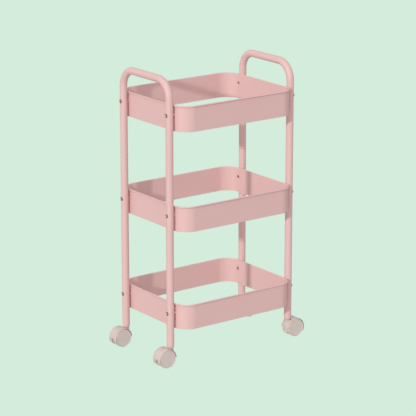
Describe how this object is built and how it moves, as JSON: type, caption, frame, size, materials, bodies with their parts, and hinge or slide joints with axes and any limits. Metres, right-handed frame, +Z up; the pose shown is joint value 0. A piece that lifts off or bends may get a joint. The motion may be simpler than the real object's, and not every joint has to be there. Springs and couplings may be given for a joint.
{
  "type": "spa trolley cart",
  "caption": "Rolling trolley cart with open metal baskets held between two bent tube handle frames, on twin-wheel casters.",
  "frame": {"origin": "on the floor under the middle of the cart", "axes": "+X along the long side of the baskets, towards the right handle; +Y towards the back; +Z up"},
  "size_m": [0.487, 0.294, 0.779],
  "materials": {
    "pink_paint": "satin powder coat",
    "cream_plastic": "satin",
    "screw_steel": "painted",
    "zinc_plate": "zinc plated"
  },
  "bodies": {
    "cart_frame": {"left_frame_tube": "pink_paint", "right_frame_tube": "pink_paint", "top_basket_band": "pink_paint", "middle_basket_band": "pink_paint", "bottom_basket_band": "pink_paint", "top_front_left_screw": "screw_steel", "top_front_left_insert": "zinc_plate", "middle_front_left_screw": "screw_steel", "middle_front_left_insert": "zinc_plate", "bottom_front_left_screw": "screw_steel", "bottom_front_left_insert": "zinc_plate", "top_back_left_screw": "screw_steel", "top_back_left_insert": "zinc_plate", "middle_back_left_screw": "screw_steel", "middle_back_left_insert": "zinc_plate", "bottom_back_left_screw": "screw_steel", "bottom_back_left_insert": "zinc_plate", "top_front_right_screw": "screw_steel", "top_front_right_insert": "zinc_plate", "middle_front_right_screw": "screw_steel", "middle_front_right_insert": "zinc_plate", "bottom_front_right_screw": "screw_steel", "bottom_front_right_insert": "zinc_plate", "top_back_right_screw": "screw_steel", "top_back_right_insert": "zinc_plate", "middle_back_right_screw": "screw_steel", "middle_back_right_insert": "zinc_plate", "bottom_back_right_screw": "screw_steel", "bottom_back_right_insert": "zinc_plate", "front_left_plug": "cream_plastic", "front_left_stem": "zinc_plate", "back_left_plug": "cream_plastic", "back_left_stem": "zinc_plate", "front_right_plug": "cream_plastic", "front_right_stem": "zinc_plate", "back_right_plug": "cream_plastic", "back_right_stem": "zinc_plate"},
    "front_left_caster": {"front_left_hood": "cream_plastic", "front_left_axle": "zinc_plate"},
    "front_left_outer_wheel": {"front_left_outer_wheel": "cream_plastic"},
    "front_left_inner_wheel": {"front_left_inner_wheel": "cream_plastic"},
    "back_left_caster": {"back_left_hood": "cream_plastic", "back_left_axle": "zinc_plate"},
    "back_left_outer_wheel": {"back_left_outer_wheel": "cream_plastic"},
    "back_left_inner_wheel": {"back_left_inner_wheel": "cream_plastic"},
    "front_right_caster": {"front_right_hood": "cream_plastic", "front_right_axle": "zinc_plate"},
    "front_right_outer_wheel": {"front_right_outer_wheel": "cream_plastic"},
    "front_right_inner_wheel": {"front_right_inner_wheel": "cream_plastic"},
    "back_right_caster": {"back_right_hood": "cream_plastic", "back_right_axle": "zinc_plate"},
    "back_right_outer_wheel": {"back_right_outer_wheel": "cream_plastic"},
    "back_right_inner_wheel": {"back_right_inner_wheel": "cream_plastic"}
  },
  "joints": [
    {"name": "front_left_swivel", "type": "hinge", "parent": "cart_frame", "child": "front_left_caster", "pos_m": [-0.1979, -0.1045, 0.04], "axis": [0, 0, 1], "continuous": true},
    {"name": "front_left_outer_wheel_spin", "type": "hinge", "parent": "front_left_caster", "child": "front_left_outer_wheel", "pos_m": [-0.2165, -0.1045, 0.025], "axis": [0, 1, 0], "continuous": true},
    {"name": "front_left_inner_wheel_spin", "type": "hinge", "parent": "front_left_caster", "child": "front_left_inner_wheel", "pos_m": [-0.2165, -0.1045, 0.025], "axis": [0, 1, 0], "continuous": true},
    {"name": "back_left_swivel", "type": "hinge", "parent": "cart_frame", "child": "back_left_caster", "pos_m": [-0.1979, 0.1045, 0.04], "axis": [0, 0, 1], "continuous": true},
    {"name": "back_left_outer_wheel_spin", "type": "hinge", "parent": "back_left_caster", "child": "back_left_outer_wheel", "pos_m": [-0.2165, 0.1045, 0.025], "axis": [0, 1, 0], "continuous": true},
    {"name": "back_left_inner_wheel_spin", "type": "hinge", "parent": "back_left_caster", "child": "back_left_inner_wheel", "pos_m": [-0.2165, 0.1045, 0.025], "axis": [0, 1, 0], "continuous": true},
    {"name": "front_right_swivel", "type": "hinge", "parent": "cart_frame", "child": "front_right_caster", "pos_m": [0.1979, -0.1045, 0.04], "axis": [0, 0, 1], "continuous": true},
    {"name": "front_right_outer_wheel_spin", "type": "hinge", "parent": "front_right_caster", "child": "front_right_outer_wheel", "pos_m": [0.2165, -0.1045, 0.025], "axis": [0, 1, 0], "continuous": true},
    {"name": "front_right_inner_wheel_spin", "type": "hinge", "parent": "front_right_caster", "child": "front_right_inner_wheel", "pos_m": [0.2165, -0.1045, 0.025], "axis": [0, 1, 0], "continuous": true},
    {"name": "back_right_swivel", "type": "hinge", "parent": "cart_frame", "child": "back_right_caster", "pos_m": [0.1979, 0.1045, 0.04], "axis": [0, 0, 1], "continuous": true},
    {"name": "back_right_outer_wheel_spin", "type": "hinge", "parent": "back_right_caster", "child": "back_right_outer_wheel", "pos_m": [0.2165, 0.1045, 0.025], "axis": [0, 1, 0], "continuous": true},
    {"name": "back_right_inner_wheel_spin", "type": "hinge", "parent": "back_right_caster", "child": "back_right_inner_wheel", "pos_m": [0.2165, 0.1045, 0.025], "axis": [0, 1, 0], "continuous": true}
  ]
}
